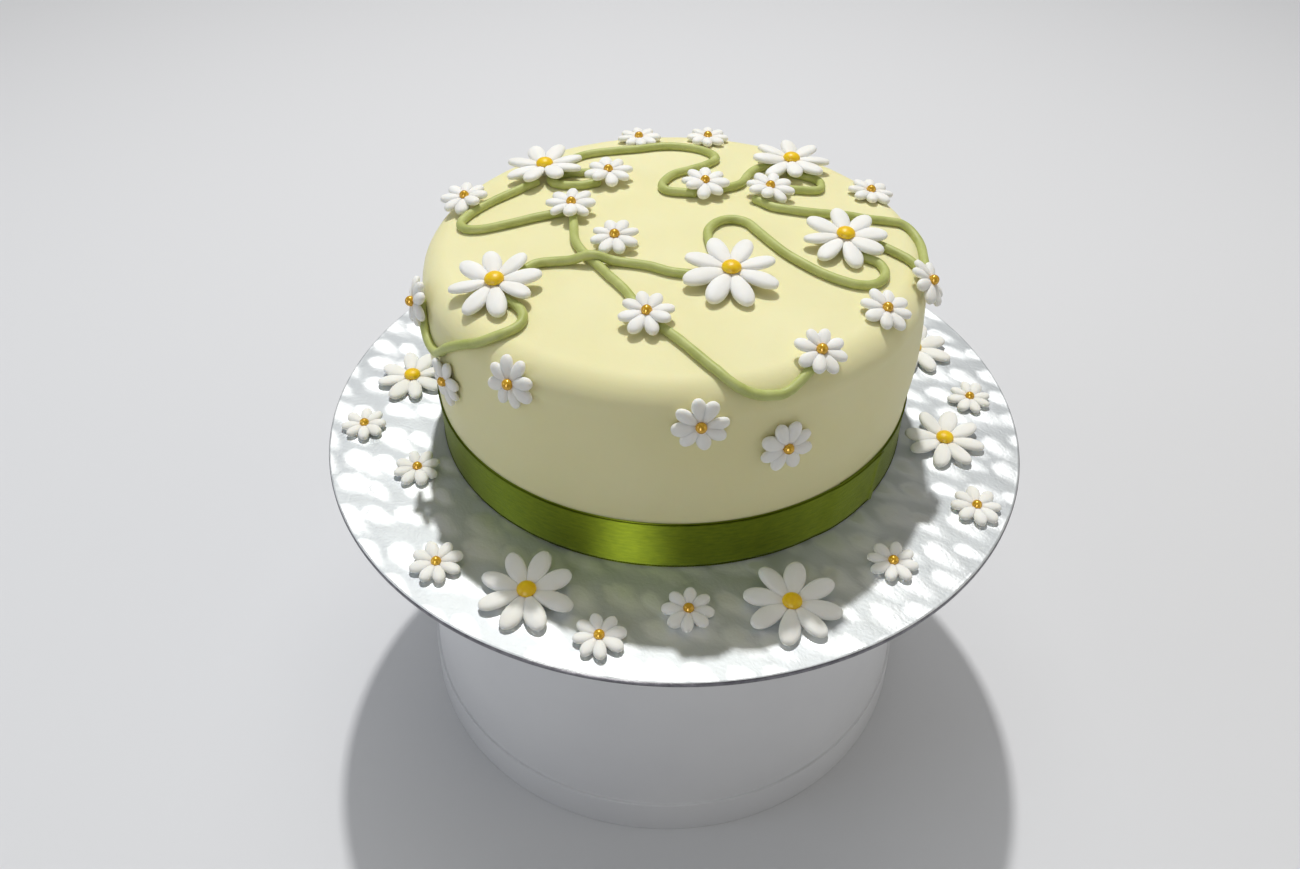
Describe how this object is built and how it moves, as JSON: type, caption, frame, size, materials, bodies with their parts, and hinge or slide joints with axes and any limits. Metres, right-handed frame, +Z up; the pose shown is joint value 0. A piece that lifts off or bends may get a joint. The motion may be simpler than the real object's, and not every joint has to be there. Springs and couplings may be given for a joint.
{
  "type": "celebration cake on stand",
  "caption": "Round iced celebration cake with sugar daisies, paste vines and a satin ribbon, on a silver board and a plain white round stand.",
  "frame": {"origin": "middle of the stand's foot, on the surface that it stands on", "axes": "+Z up; -Y is the front of the cake, the side that the picture shows; +X is to the right seen from the front"},
  "size_m": [0.3048, 0.3048, 0.2551],
  "materials": {
    "icing": "smooth rolled sugar paste, pale cream, soft satin",
    "petal_paste": "white sugar paste, matte",
    "large_button": "yellow sugar paste, matte and slightly grainy",
    "small_button": "golden sugar ball, glossy",
    "vine_paste": "soft olive green sugar paste, satin",
    "satin_ribbon": "moss green woven satin",
    "board_foil": "silver foil, embossed",
    "stand_white": "plain white, satin"
  },
  "bodies": {
    "root": {"board": "board_foil", "daisy_board_1": "petal_paste", "daisy_board_10": "petal_paste", "daisy_board_2": "petal_paste", "daisy_board_3": "petal_paste", "daisy_board_4": "petal_paste", "daisy_board_5": "petal_paste", "daisy_board_6": "petal_paste", "daisy_board_7": "petal_paste", "daisy_board_8": "petal_paste", "daisy_board_9": "petal_paste", "daisy_board_large_1": "petal_paste", "daisy_board_large_2": "petal_paste", "daisy_board_large_3": "petal_paste", "daisy_board_large_4": "petal_paste", "daisy_board_large_5": "petal_paste", "daisy_board_large_6": "petal_paste", "daisy_large_back_left": "petal_paste", "daisy_large_back_right": "petal_paste", "daisy_large_left": "petal_paste", "daisy_large_middle": "petal_paste", "daisy_large_right": "petal_paste", "daisy_rim_1": "petal_paste", "daisy_rim_2": "petal_paste", "daisy_rim_3": "petal_paste", "daisy_rim_4": "petal_paste", "daisy_rim_5": "petal_paste", "daisy_rim_6": "petal_paste", "daisy_rim_7": "petal_paste", "daisy_side_1": "petal_paste", "daisy_side_2": "petal_paste", "daisy_side_3": "petal_paste", "daisy_side_4": "petal_paste", "daisy_side_5": "petal_paste", "daisy_side_6": "petal_paste", "daisy_side_7": "petal_paste", "daisy_top_1": "petal_paste", "daisy_top_2": "petal_paste", "daisy_top_3": "petal_paste", "daisy_top_4": "petal_paste", "daisy_top_5": "petal_paste", "daisy_top_6": "petal_paste", "daisy_top_7": "petal_paste", "iced_cake": "icing", "ribbon": "satin_ribbon", "stand": "stand_white", "vine_back_hook": "vine_paste", "vine_back_left_loop": "vine_paste", "vine_back_middle": "vine_paste", "vine_back_right_curl": "vine_paste", "vine_back_rim": "vine_paste", "vine_cross": "vine_paste", "vine_front_swag": "vine_paste", "vine_left_drop": "vine_paste", "vine_left_swag": "vine_paste", "vine_right_drop": "vine_paste", "vine_right_rim": "vine_paste", "vine_right_s": "vine_paste"}
  },
  "joints": []
}
